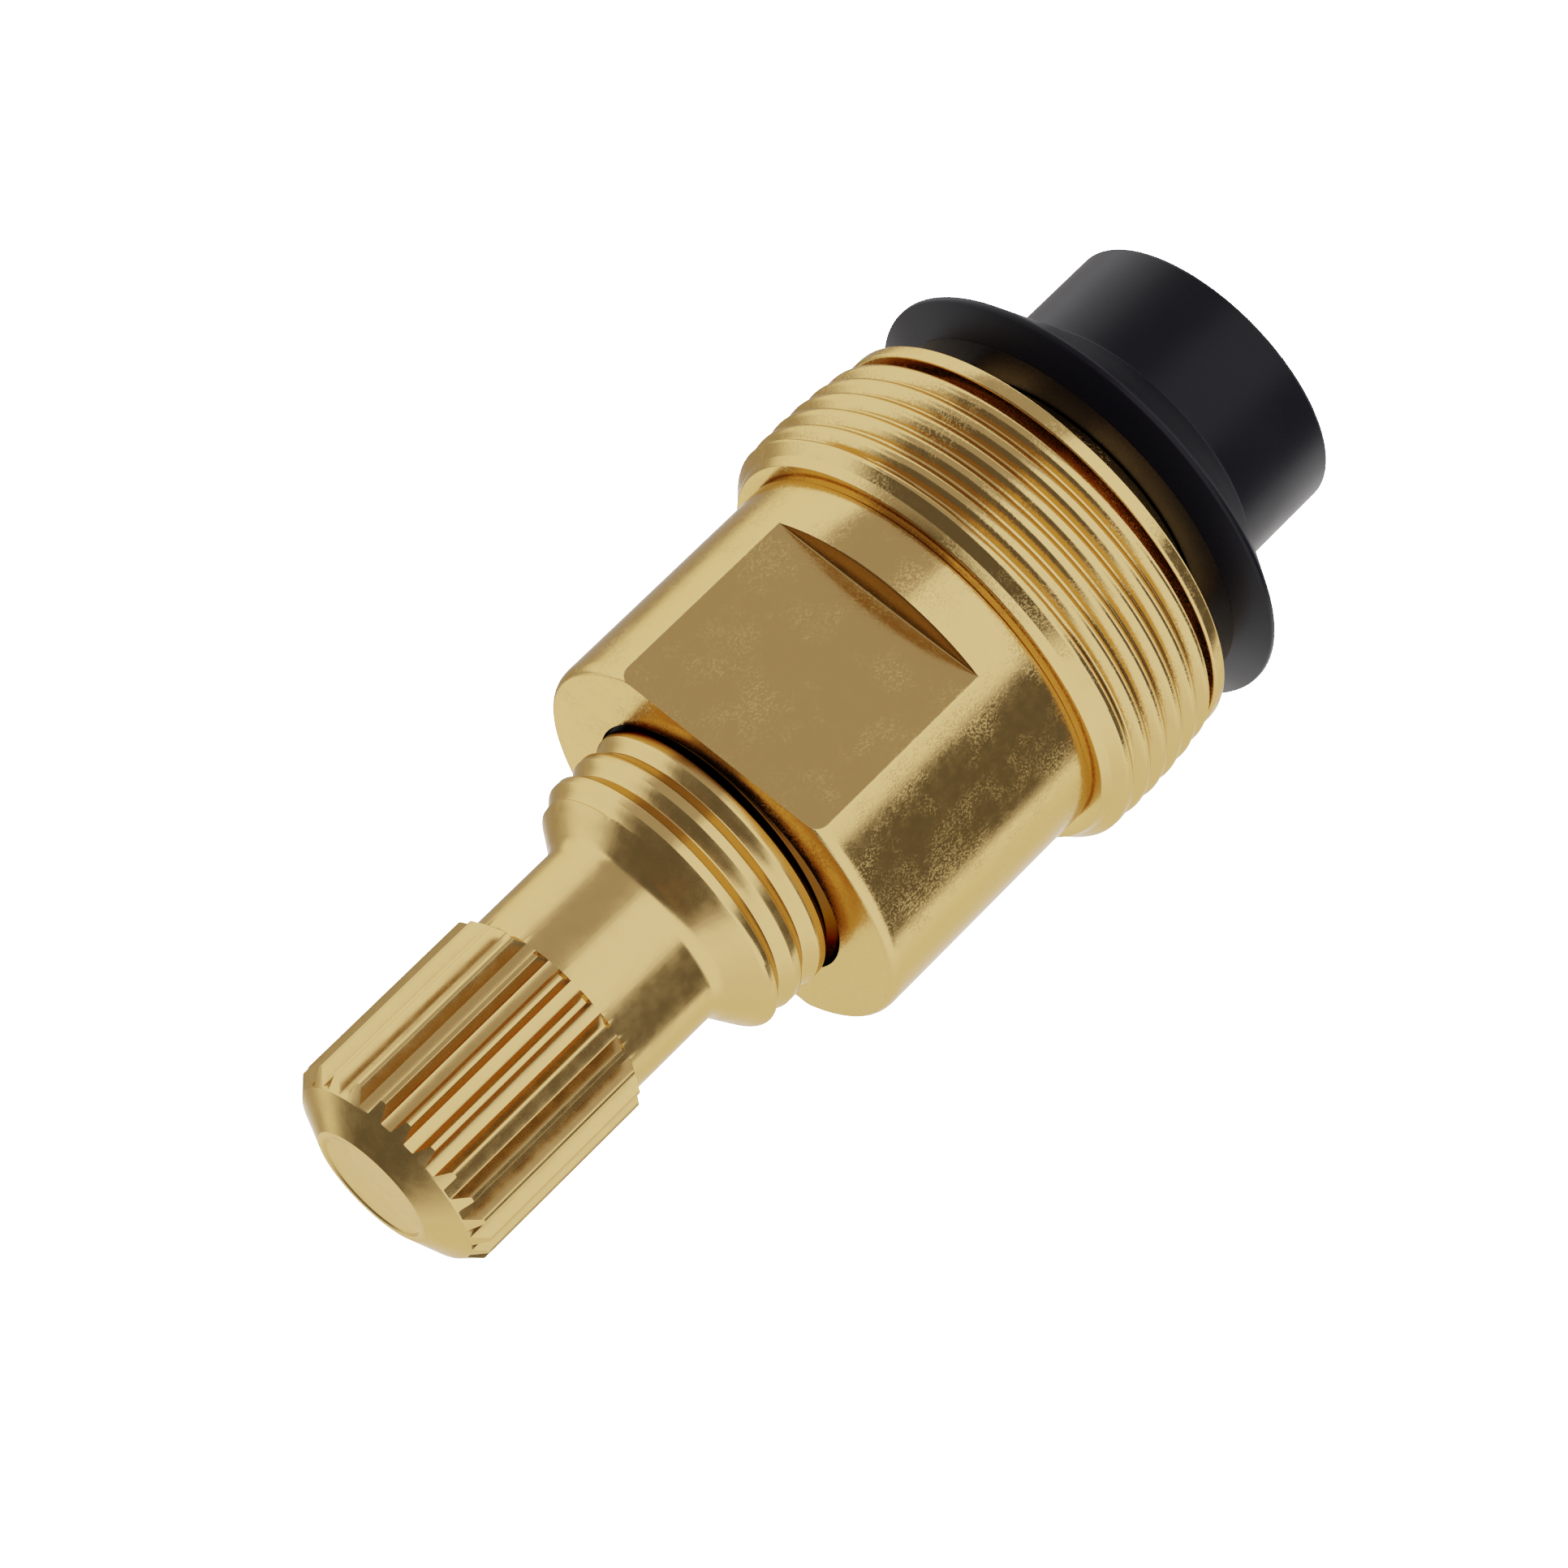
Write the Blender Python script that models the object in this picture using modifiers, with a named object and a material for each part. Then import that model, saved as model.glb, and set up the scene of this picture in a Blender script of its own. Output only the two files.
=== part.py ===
"""Screw-down faucet stem with a top-hat diaphragm.

A splined brass spindle screws through a brass bonnet with a left-hand thread.
It pushes a swivel foot, which does not turn, into the crown of a rubber diaphragm.
The stem stands on the crown of its diaphragm, with the spline at the top.
"""
import math

import bmesh
import bpy

MM = 0.001

# Clearances between neighbouring pieces
SEAT_GAP = 0.30 * MM
THREAD_RADIAL_GAP = 0.25 * MM
THREAD_AXIAL_GAP = 0.18 * MM

# Rubber diaphragm, heights from the crown's end
HAT_HEIGHT = 9.21 * MM
CROWN_RADIUS = 7.08 * MM
CROWN_WALL = 1.50 * MM
CROWN_FLOOR = 2.30 * MM
CROWN_EDGE = 0.25 * MM
BRIM_RADIUS = 10.93 * MM
BRIM_LAND = 1.50 * MM
BRIM_DROP = 0.69 * MM
BRIM_RIM = 0.22 * MM
BRIM_UNDERCUT = 3.46 * MM
BRIM_FILLET = 0.90 * MM
SEAT_DEPTH = 0.30 * MM

# Swivel foot
FLANGE_RADIUS = 7.28 * MM
FLANGE_HEIGHT = 4.00 * MM
FLANGE_EDGE = 0.30 * MM
BUTTON_EDGE = 0.60 * MM
STUD_RADIUS = 2.30 * MM
STUD_HEIGHT = 4.60 * MM
STUD_EDGE = 0.40 * MM

# Spring ring that holds the foot's stud in the spindle
SNAP_THICKNESS = 0.70 * MM
SNAP_HEIGHT = 2.00 * MM
SNAP_DEPTH = 0.50 * MM
SNAP_SPLIT = 1.20 * MM

# Loose ring on the bonnet's spigot
OPEN_GAP = 1.97 * MM
RING_WIDTH = 1.77 * MM
RING_THICKNESS = 0.70 * MM
RING_EDGE = 0.12 * MM
RING_PLAY = 0.55 * MM

# Bonnet
BONNET_LENGTH = 18.72 * MM
SPIGOT_RADIUS = 8.60 * MM
SPIGOT_LIP = 0.42 * MM
BODY_THREAD_RADIUS = 11.09 * MM
BODY_THREAD_LENGTH = 5.45 * MM
BODY_THREAD_CENTRE = 3.52 * MM
BODY_THREAD_BARREL = 0.021 / MM
BODY_THREAD_PITCH = 1.058 * MM
BODY_THREAD_DEPTH = 0.44 * MM
BODY_THREAD_MOUTH = 0.58 * MM
BODY_THREAD_ROOT = 0.12 * MM
BODY_THREAD_RUNOUT = 0.35 * MM
BODY_THREAD_FADE = 0.53 * MM
BODY_CREST_STEPS = 4
BEAD_LENGTH = 0.96 * MM
BEAD_DROP = 0.84 * MM
UNDERCUT_DEPTH = 0.30 * MM
UNDERCUT_WIDTH = 0.14 * MM
UNDERCUT_SLOPE = 0.20 * MM
BARREL_RADIUS = 9.66 * MM
BARREL_CHAMFER = 0.50 * MM
FLAT_LENGTH = 9.77 * MM
ACROSS_FLATS = 15.93 * MM
NUT_LENGTH = 7.95 * MM
MOUTH_DEPTH = 0.55 * MM
MOUTH_RELIEF = 0.08 * MM

# Spindle
COLLAR_STANDOUT = 3.88 * MM
STEM_THREAD_RADIUS = 6.567 * MM
STEM_THREAD_LENGTH = 11.60 * MM
STEM_THREAD_DEPTH = 0.583 * MM
STEM_THREAD_CREST = 0.477 * MM
STEM_THREAD_LEAD = 1.458 * MM
STEM_THREAD_FLANK = 30.0
STEM_THREAD_LEAD_IN = 0.80 * MM
SHANK_RELIEF = 0.38 * MM
COLLAR_TAPER = 1.06 * MM
COLLAR_FOOT = 0.46 * MM
COLLAR_SWEEP = 0.76 * MM
NECK_RADIUS = 4.72 * MM
NECK_LENGTH = 4.51 * MM
SPLINE_RADIUS = 5.28 * MM
SPLINE_LENGTH = 9.75 * MM
SPLINE_TEETH = 24
SPLINE_PHASE = 3.8
SPLINE_CREST_ANGLE = 2.8
SPLINE_BASE_ANGLE = 8.6
SPLINE_START_SLOPE = 0.65
SPLINE_END_SLOPE = 0.88
SPLINE_END_RELIEF = 0.09 * MM
NOSE_LENGTH = 0.86 * MM
NOSE_STEP = 0.06 * MM
NOSE_EDGE = 0.08 * MM
NOSE_FACE_RADIUS = 3.02 * MM
NOSE_LIP = 0.35 * MM
NOSE_DISH = 0.13 * MM

# Angle of the side from which both threads are measured
FRONT_ANGLE = -109.47
STEM_THREAD_DROP = 0.985 * MM
BODY_THREAD_RISE = 1.66 * MM

# Facets round the turned pieces and reach of the cutters past a face
LARGE_STEPS = 44
MIDDLE_STEPS = 48
SMALL_STEPS = 28
OVERSHOOT = 1.00 * MM
THREAD_OVERSHOOT = 0.20 * MM
SUNK = 0.18 * MM

# Thread cutter rows stand this many degrees beside facet edges, and points this near are merged
ROW_OFFSET = 0.03
MERGE = 0.012 * MM

# Heights and radii worked out from the sizes above
FLANGE_TOP = HAT_HEIGHT + FLANGE_HEIGHT
STUD_TOP = FLANGE_TOP + STUD_HEIGHT
CROWN_BORE = CROWN_RADIUS - CROWN_WALL
RING_BOTTOM = HAT_HEIGHT + OPEN_GAP
RING_TOP = RING_BOTTOM + RING_THICKNESS
RING_BORE = SPIGOT_RADIUS + SEAT_GAP
RING_RADIUS = RING_BORE + RING_WIDTH
BONNET_END = RING_TOP + RING_PLAY
BONNET_FACE = BONNET_END + BONNET_LENGTH
BEAD_START = BONNET_END + BODY_THREAD_LENGTH
CHAMBER_RADIUS = FLANGE_RADIUS + SEAT_GAP
STEM_ROOT_RADIUS = STEM_THREAD_RADIUS - STEM_THREAD_DEPTH
NUT_ROOT_RADIUS = STEM_THREAD_RADIUS + THREAD_RADIAL_GAP
NUT_CREST_RADIUS = STEM_ROOT_RADIUS + THREAD_RADIAL_GAP
COLLAR_TOP = BONNET_FACE + COLLAR_STANDOUT
STEM_THREAD_END = COLLAR_TOP - STEM_THREAD_LENGTH
SHANK_RADIUS = STEM_ROOT_RADIUS - SHANK_RELIEF
SPINDLE_END = FLANGE_TOP + SEAT_GAP
STUD_BORE = STUD_RADIUS + SEAT_GAP
NECK_START = COLLAR_TOP + COLLAR_TAPER + COLLAR_SWEEP
SPLINE_START = NECK_START + NECK_LENGTH
SPLINE_END = SPLINE_START + SPLINE_LENGTH
NOSE_TOP = SPLINE_END + NOSE_LENGTH
SNAP_BOTTOM = FLANGE_TOP + SNAP_HEIGHT
SNAP_TOP = SNAP_BOTTOM + SNAP_THICKNESS
SNAP_GROOVE_LOW = SNAP_BOTTOM - SEAT_GAP
SNAP_GROOVE_HIGH = SNAP_TOP + SEAT_GAP
LEFT_HAND = -1
RIGHT_HAND = 1

BRASS = (0.62, 0.47, 0.24, 1.0)
RUBBER = (0.016, 0.016, 0.018, 1.0)
SPRING_STEEL = (0.52, 0.52, 0.54, 1.0)


def clear_scene():
    for old in list(bpy.data.objects):
        bpy.data.objects.remove(old, do_unlink=True)


def add_collection(name):
    made = bpy.data.collections.new(name)
    bpy.context.scene.collection.children.link(made)
    return made


def add_material(name, colour, metallic, roughness):
    made = bpy.data.materials.new(name)
    made.use_nodes = True
    shader = made.node_tree.nodes["Principled BSDF"]
    shader.inputs["Base Color"].default_value = colour
    shader.inputs["Metallic"].default_value = metallic
    shader.inputs["Roughness"].default_value = roughness
    return made


def add_object(name, mesh, collection):
    made = bpy.data.objects.new(name, mesh)
    collection.objects.link(made)
    return made


def add_turned(name, profile, steps, collection, closed=False, phase=0.0):
    """Solid turned round Z from (radius, height) points that run down its outer side."""
    mesh = bpy.data.meshes.new(name)
    edges = [(i, i + 1) for i in range(len(profile) - 1)]
    if closed:
        edges.append((len(profile) - 1, 0))
    mesh.from_pydata([(radius, 0.0, height) for radius, height in profile], edges, [])
    made = add_object(name, mesh, collection)
    made.rotation_euler.z = math.radians(phase)
    screw = made.modifiers.new("turn", "SCREW")
    screw.axis = "Z"
    screw.steps = steps
    screw.render_steps = steps
    screw.use_merge_vertices = True
    screw.merge_threshold = 1e-6
    return made


def add_helix(name, section, lead, hand, low, high, through, steps, collection, phase=0.0, lift=None):
    """Solid swept by a (radius, height) section along a helix round Z.

    The helix climbs from low to high and passes the height through at FRONT_ANGLE.
    Its rows stand a hair beside the facet edges of a solid turned with the same steps.
    """
    form = bmesh.new()
    rows = []
    row_angle = phase + ROW_OFFSET
    start = through + hand * lead * (row_angle - FRONT_ANGLE) / 360.0
    first = math.floor((low - start) / lead * steps)
    last = math.ceil((high - start) / lead * steps)
    for i in range(first, last + 1):
        height = start + lead * i / steps
        angle = math.radians(row_angle) + hand * 2.0 * math.pi * i / steps
        outward = lift(height) if lift else 0.0
        rows.append([
            form.verts.new(((radius + outward) * math.cos(angle), (radius + outward) * math.sin(angle), height + rise))
            for radius, rise in section
        ])
    for lower, upper in zip(rows, rows[1:]):
        for k in range(len(section)):
            n = (k + 1) % len(section)
            form.faces.new((lower[k], lower[n], upper[n], upper[k]))
    form.faces.new(rows[0])
    form.faces.new(rows[-1])
    bmesh.ops.triangulate(form, faces=form.faces[:])
    bmesh.ops.recalc_face_normals(form, faces=form.faces[:])
    mesh = bpy.data.meshes.new(name)
    form.to_mesh(mesh)
    form.free()
    return add_object(name, mesh, collection)


def add_prism(name, outline, low, high, collection):
    """Upright prism of an outline in X and Y."""
    form = bmesh.new()
    base = form.faces.new([form.verts.new((x, y, low)) for x, y in outline])
    grown = bmesh.ops.extrude_face_region(form, geom=[base])
    lifted = [item for item in grown["geom"] if isinstance(item, bmesh.types.BMVert)]
    bmesh.ops.translate(form, verts=lifted, vec=(0.0, 0.0, high - low))
    bmesh.ops.recalc_face_normals(form, faces=form.faces[:])
    mesh = bpy.data.meshes.new(name)
    form.to_mesh(mesh)
    form.free()
    return add_object(name, mesh, collection)


def add_box(name, low, high, collection):
    """Box between two opposite corners."""
    form = bmesh.new()
    bmesh.ops.create_cube(form, size=1.0)
    for vert in form.verts:
        vert.co = [a + (b - a) * (c + 0.5) for a, b, c in zip(low, high, vert.co)]
    mesh = bpy.data.meshes.new(name)
    form.to_mesh(mesh)
    form.free()
    return add_object(name, mesh, collection)


def shape_with(target, tool, operation):
    """Exact Boolean of a piece with a helper, which stays as a hidden guide."""
    tool.hide_render = True
    tool.display_type = "WIRE"
    boolean = target.modifiers.new(tool.name, "BOOLEAN")
    boolean.operation = operation
    boolean.solver = "EXACT"
    boolean.object = tool


def arc(centre_radius, centre_height, radius, start, end, steps):
    """Points of a (radius, height) arc between two angles."""
    angles = [math.radians(start + (end - start) * i / steps) for i in range(steps + 1)]
    return [(centre_radius + radius * math.cos(a), centre_height + radius * math.sin(a)) for a in angles]


def groove(bottom_radius, bottom_width, mouth_radius, mouth_width):
    """Section of a thread groove, anticlockwise, between its bottom and its mouth."""
    ends = sorted([(bottom_radius, bottom_width), (mouth_radius, mouth_width)])
    (inner, inner_width), (outer, outer_width) = ends
    return [
        (inner, -inner_width / 2.0),
        (outer, -outer_width / 2.0),
        (outer, outer_width / 2.0),
        (inner, inner_width / 2.0),
    ]


def make_diaphragm(parts):
    """Rubber top hat: a closed crown and a brim that is undercut towards it."""
    rim_top = HAT_HEIGHT - BRIM_DROP
    rim_bottom = rim_top - BRIM_RIM
    root = rim_bottom - BRIM_UNDERCUT
    slope = math.degrees(math.atan2(BRIM_UNDERCUT, BRIM_RADIUS - CROWN_RADIUS))
    fillet_height = root - BRIM_FILLET * math.tan(math.radians(90.0 - slope) / 2.0)
    seat = HAT_HEIGHT - SEAT_DEPTH
    profile = [
        (0.0, CROWN_FLOOR),
        (CROWN_BORE - BUTTON_EDGE, CROWN_FLOOR),
        (CROWN_BORE, CROWN_FLOOR + BUTTON_EDGE),
        (CROWN_BORE, seat),
        (FLANGE_RADIUS + SEAT_GAP, seat),
        (FLANGE_RADIUS + SEAT_GAP, HAT_HEIGHT),
        (BRIM_RADIUS - BRIM_LAND, HAT_HEIGHT),
        (BRIM_RADIUS, rim_top),
        (BRIM_RADIUS, rim_bottom),
    ]
    profile += arc(CROWN_RADIUS + BRIM_FILLET, fillet_height, BRIM_FILLET, 90.0 + slope, 180.0, 3)
    profile += [(CROWN_RADIUS, CROWN_EDGE), (CROWN_RADIUS - CROWN_EDGE, 0.0), (0.0, 0.0)]
    return add_turned("diaphragm", profile, LARGE_STEPS, parts)


def make_swivel_foot(parts):
    """Button in the crown, flange on the brim and grooved stud in the spindle."""
    button = CROWN_BORE - SEAT_GAP
    bottom = CROWN_FLOOR + SEAT_GAP
    neck = STUD_RADIUS - SNAP_DEPTH
    profile = [
        (0.0, STUD_TOP),
        (STUD_RADIUS - STUD_EDGE, STUD_TOP),
        (STUD_RADIUS, STUD_TOP - STUD_EDGE),
        (STUD_RADIUS, SNAP_GROOVE_HIGH),
        (neck, SNAP_GROOVE_HIGH),
        (neck, SNAP_GROOVE_LOW),
        (STUD_RADIUS, SNAP_GROOVE_LOW),
        (STUD_RADIUS, FLANGE_TOP),
        (FLANGE_RADIUS - FLANGE_EDGE, FLANGE_TOP),
        (FLANGE_RADIUS, FLANGE_TOP - FLANGE_EDGE),
        (FLANGE_RADIUS, HAT_HEIGHT),
        (button, HAT_HEIGHT),
        (button, bottom + BUTTON_EDGE),
        (button - BUTTON_EDGE, bottom),
        (0.0, bottom),
    ]
    return add_turned("swivel_foot", profile, SMALL_STEPS, parts)


def make_retaining_ring(parts, guides):
    """Split spring ring, half in the stud's groove and half in the spindle's."""
    inner = STUD_RADIUS - SNAP_DEPTH + SEAT_GAP
    outer = STUD_BORE + SNAP_DEPTH
    profile = [(inner, SNAP_TOP), (outer, SNAP_TOP), (outer, SNAP_BOTTOM), (inner, SNAP_BOTTOM)]
    ring = add_turned("retaining_ring", profile, SMALL_STEPS, parts, closed=True)
    low = (0.0, -SNAP_SPLIT / 2.0, SNAP_BOTTOM - OVERSHOOT)
    high = (outer + OVERSHOOT, SNAP_SPLIT / 2.0, SNAP_TOP + OVERSHOOT)
    shape_with(ring, add_box("snap_split", low, high, guides), "DIFFERENCE")
    return ring


def make_friction_ring(parts):
    """Loose slip ring between the bonnet's end and the diaphragm's brim."""
    profile = [
        (RING_BORE, RING_TOP),
        (RING_RADIUS - RING_EDGE, RING_TOP),
        (RING_RADIUS, RING_TOP - RING_EDGE),
        (RING_RADIUS, RING_BOTTOM + RING_EDGE),
        (RING_RADIUS - RING_EDGE, RING_BOTTOM),
        (RING_BORE, RING_BOTTOM),
    ]
    return add_turned("friction_ring", profile, LARGE_STEPS, parts, closed=True)


def body_thread_swell(height):
    """Crest height of the barrelled body thread, from its widest radius."""
    return -BODY_THREAD_BARREL * (height - BONNET_END - BODY_THREAD_CENTRE) ** 2


def body_thread_lift(height):
    """Shift of the body thread's groove, which runs out below the bead."""
    fade = (height - BEAD_START + BODY_THREAD_MOUTH) / BODY_THREAD_RUNOUT
    return body_thread_swell(height) + BODY_THREAD_FADE * min(max(fade, 0.0), 1.0)


def make_bonnet(parts, guides):
    """Spigot, body thread, bead and barrel with two flats, threaded inside."""
    lip_top = RING_BOTTOM - SEAT_GAP
    lip_radius = SPIGOT_RADIUS + SPIGOT_LIP
    lip_bottom = lip_top - SPIGOT_LIP
    bead_end = BEAD_START + BEAD_LENGTH
    bead_radius = BODY_THREAD_RADIUS + body_thread_swell(BEAD_START)
    groove_bottom = BARREL_RADIUS - UNDERCUT_DEPTH
    groove_low = bead_end + UNDERCUT_SLOPE
    groove_high = groove_low + UNDERCUT_WIDTH
    mouth = NUT_ROOT_RADIUS + MOUTH_RELIEF
    profile = [
        (mouth, BONNET_FACE),
        (BARREL_RADIUS - BARREL_CHAMFER, BONNET_FACE),
        (BARREL_RADIUS, BONNET_FACE - BARREL_CHAMFER),
        (BARREL_RADIUS, groove_high),
        (groove_bottom, groove_low),
        (bead_radius - BEAD_DROP, bead_end),
    ]
    for i in range(BODY_CREST_STEPS + 1):
        height = BEAD_START - BODY_THREAD_LENGTH * i / BODY_CREST_STEPS
        profile.append((BODY_THREAD_RADIUS + body_thread_swell(height), height))
    profile += [
        (SPIGOT_RADIUS, BONNET_END),
        (SPIGOT_RADIUS, lip_top),
        (lip_radius, lip_top - SPIGOT_LIP / 2.0),
        (lip_radius, lip_bottom),
        (CHAMBER_RADIUS, lip_bottom),
        (CHAMBER_RADIUS, BONNET_FACE - NUT_LENGTH),
        (NUT_CREST_RADIUS, BONNET_FACE - NUT_LENGTH),
        (NUT_CREST_RADIUS, BONNET_FACE - MOUTH_DEPTH),
        (mouth, BONNET_FACE - MOUTH_DEPTH),
    ]
    bonnet = add_turned("bonnet", profile, LARGE_STEPS, parts, closed=True)

    for side in (-1, 1):
        near = side * ACROSS_FLATS / 2.0
        far = side * (BARREL_RADIUS + OVERSHOOT)
        low = (-BARREL_RADIUS, min(near, far), BONNET_FACE - FLAT_LENGTH)
        high = (BARREL_RADIUS, max(near, far), BONNET_FACE + OVERSHOOT)
        name = "flat_cutter_front" if side < 0 else "flat_cutter_back"
        shape_with(bonnet, add_box(name, low, high, guides), "DIFFERENCE")

    spread = (BODY_THREAD_MOUTH - BODY_THREAD_ROOT) / BODY_THREAD_DEPTH
    section = groove(
        BODY_THREAD_RADIUS - BODY_THREAD_DEPTH, BODY_THREAD_ROOT,
        BODY_THREAD_RADIUS + THREAD_OVERSHOOT, BODY_THREAD_MOUTH + THREAD_OVERSHOOT * spread,
    )
    body_thread = add_helix(
        "body_thread_cutter", section, BODY_THREAD_PITCH, RIGHT_HAND,
        BONNET_END - BODY_THREAD_MOUTH, BEAD_START, BONNET_END + BODY_THREAD_RISE,
        LARGE_STEPS, guides, lift=body_thread_lift,
    )
    shape_with(bonnet, body_thread, "DIFFERENCE")

    slope = 2.0 * math.tan(math.radians(STEM_THREAD_FLANK))
    bottom_width = STEM_THREAD_CREST + 2.0 * THREAD_AXIAL_GAP - THREAD_RADIAL_GAP * slope
    inside = NUT_CREST_RADIUS - THREAD_OVERSHOOT
    section = groove(NUT_ROOT_RADIUS, bottom_width, inside, bottom_width + (NUT_ROOT_RADIUS - inside) * slope)
    nut_thread = add_helix(
        "nut_thread_cutter", section, STEM_THREAD_LEAD, LEFT_HAND,
        BONNET_FACE - NUT_LENGTH - STEM_THREAD_LEAD, BONNET_FACE + OVERSHOOT,
        COLLAR_TOP - STEM_THREAD_DROP + STEM_THREAD_LEAD / 2.0, LARGE_STEPS, guides,
    )
    shape_with(bonnet, nut_thread, "DIFFERENCE")
    return bonnet


def spline_outline():
    """Toothed outline from sunk roots to just above the crests."""
    spread = (SPLINE_BASE_ANGLE - SPLINE_CREST_ANGLE) / (SPLINE_RADIUS - NECK_RADIUS)
    top = SPLINE_RADIUS + SUNK / 2.0
    bottom = NECK_RADIUS - SUNK
    top_angle = SPLINE_CREST_ANGLE - spread * (top - SPLINE_RADIUS)
    bottom_angle = SPLINE_BASE_ANGLE + spread * (NECK_RADIUS - bottom)
    outline = []
    for i in range(SPLINE_TEETH):
        centre = SPLINE_PHASE + 360.0 * i / SPLINE_TEETH
        corners = [(bottom, -bottom_angle), (top, -top_angle), (top, top_angle), (bottom, bottom_angle)]
        for radius, spread_angle in corners:
            angle = math.radians(centre + spread_angle / 2.0)
            outline.append((radius * math.cos(angle), radius * math.sin(angle)))
    return outline


def make_spindle(parts, guides):
    """Bored shank, stem thread, collar, neck and broached spline."""
    snap_groove = STUD_BORE + SNAP_DEPTH + SEAT_GAP
    bore_top = STUD_TOP + SEAT_GAP
    dish = NOSE_FACE_RADIUS - NOSE_LIP
    profile = [
        (0.0, NOSE_TOP - NOSE_DISH),
        (dish - NOSE_DISH, NOSE_TOP - NOSE_DISH),
        (dish, NOSE_TOP),
        (NOSE_FACE_RADIUS, NOSE_TOP),
        (NECK_RADIUS - NOSE_EDGE, SPLINE_END + NOSE_STEP),
        (NECK_RADIUS, SPLINE_END),
        (NECK_RADIUS, NECK_START),
        (NECK_RADIUS + COLLAR_FOOT, NECK_START - COLLAR_SWEEP),
        (STEM_THREAD_RADIUS, COLLAR_TOP),
        (STEM_THREAD_RADIUS, STEM_THREAD_END + STEM_THREAD_LEAD_IN),
        (SHANK_RADIUS, STEM_THREAD_END),
        (SHANK_RADIUS, SPINDLE_END),
        (STUD_BORE, SPINDLE_END),
        (STUD_BORE, SNAP_GROOVE_LOW),
        (snap_groove, SNAP_GROOVE_LOW),
        (snap_groove, SNAP_GROOVE_HIGH),
        (STUD_BORE, SNAP_GROOVE_HIGH),
        (STUD_BORE, bore_top),
        (0.0, bore_top),
    ]
    spindle = add_turned("spindle", profile, MIDDLE_STEPS, parts, phase=SPLINE_PHASE)

    slope = 2.0 * math.tan(math.radians(STEM_THREAD_FLANK))
    bottom_width = STEM_THREAD_LEAD - STEM_THREAD_CREST - STEM_THREAD_DEPTH * slope
    outside = STEM_THREAD_RADIUS + THREAD_OVERSHOOT
    section = groove(STEM_ROOT_RADIUS, bottom_width, outside, bottom_width + (outside - STEM_ROOT_RADIUS) * slope)
    stem_thread = add_helix(
        "stem_thread_cutter", section, STEM_THREAD_LEAD, LEFT_HAND,
        STEM_THREAD_END - STEM_THREAD_LEAD / 2.0, COLLAR_TOP + STEM_THREAD_LEAD,
        COLLAR_TOP - STEM_THREAD_DROP, MIDDLE_STEPS, guides, phase=SPLINE_PHASE,
    )
    shape_with(spindle, stem_thread, "DIFFERENCE")

    sunk = NECK_RADIUS - SUNK
    crest_low = SPLINE_START + (SPLINE_RADIUS - NECK_RADIUS) * SPLINE_START_SLOPE
    crest_high = SPLINE_END - SPLINE_END_RELIEF - (SPLINE_RADIUS - NECK_RADIUS) * SPLINE_END_SLOPE
    root_low = SPLINE_START - SUNK * SPLINE_START_SLOPE
    root_high = SPLINE_END - SPLINE_END_RELIEF + SUNK * SPLINE_END_SLOPE
    envelope_profile = [
        (0.0, root_high), (sunk, root_high), (SPLINE_RADIUS, crest_high),
        (SPLINE_RADIUS, crest_low), (sunk, root_low), (0.0, root_low),
    ]
    envelope = add_turned("spline_envelope", envelope_profile, MIDDLE_STEPS, guides, phase=SPLINE_PHASE)
    teeth = add_prism("spline_teeth", spline_outline(), SPLINE_START - OVERSHOOT, NOSE_TOP + OVERSHOOT, guides)
    shape_with(teeth, envelope, "INTERSECT")
    shape_with(spindle, teeth, "UNION")
    return spindle


def finish(piece, material):
    """Apply a piece's modifiers, give it its material and shade it smooth."""
    graph = bpy.context.evaluated_depsgraph_get()
    mesh = bpy.data.meshes.new_from_object(piece.evaluated_get(graph))
    form = bmesh.new()
    form.from_mesh(mesh)
    bmesh.ops.remove_doubles(form, verts=form.verts[:], dist=MERGE)
    bmesh.ops.dissolve_degenerate(form, edges=form.edges[:], dist=MERGE)
    form.to_mesh(mesh)
    form.free()
    piece.modifiers.clear()
    piece.data = mesh
    mesh.materials.clear()
    mesh.materials.append(material)
    mesh.shade_smooth()
    mesh.set_sharp_from_angle(angle=math.radians(32.0))


def main():
    clear_scene()
    parts = add_collection("faucet_stem")
    guides = add_collection("guides")
    finish(make_diaphragm(parts), add_material("diaphragm_rubber", RUBBER, 0.0, 0.45))
    finish(make_swivel_foot(parts), add_material("foot_brass", BRASS, 1.0, 0.30))
    finish(make_retaining_ring(parts, guides), add_material("ring_steel", SPRING_STEEL, 1.0, 0.35))
    finish(make_friction_ring(parts), add_material("friction_ring_brass", BRASS, 1.0, 0.30))
    finish(make_bonnet(parts, guides), add_material("bonnet_brass", BRASS, 1.0, 0.30))
    finish(make_spindle(parts, guides), add_material("spindle_brass", BRASS, 1.0, 0.30))


main()
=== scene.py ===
import math

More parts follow.
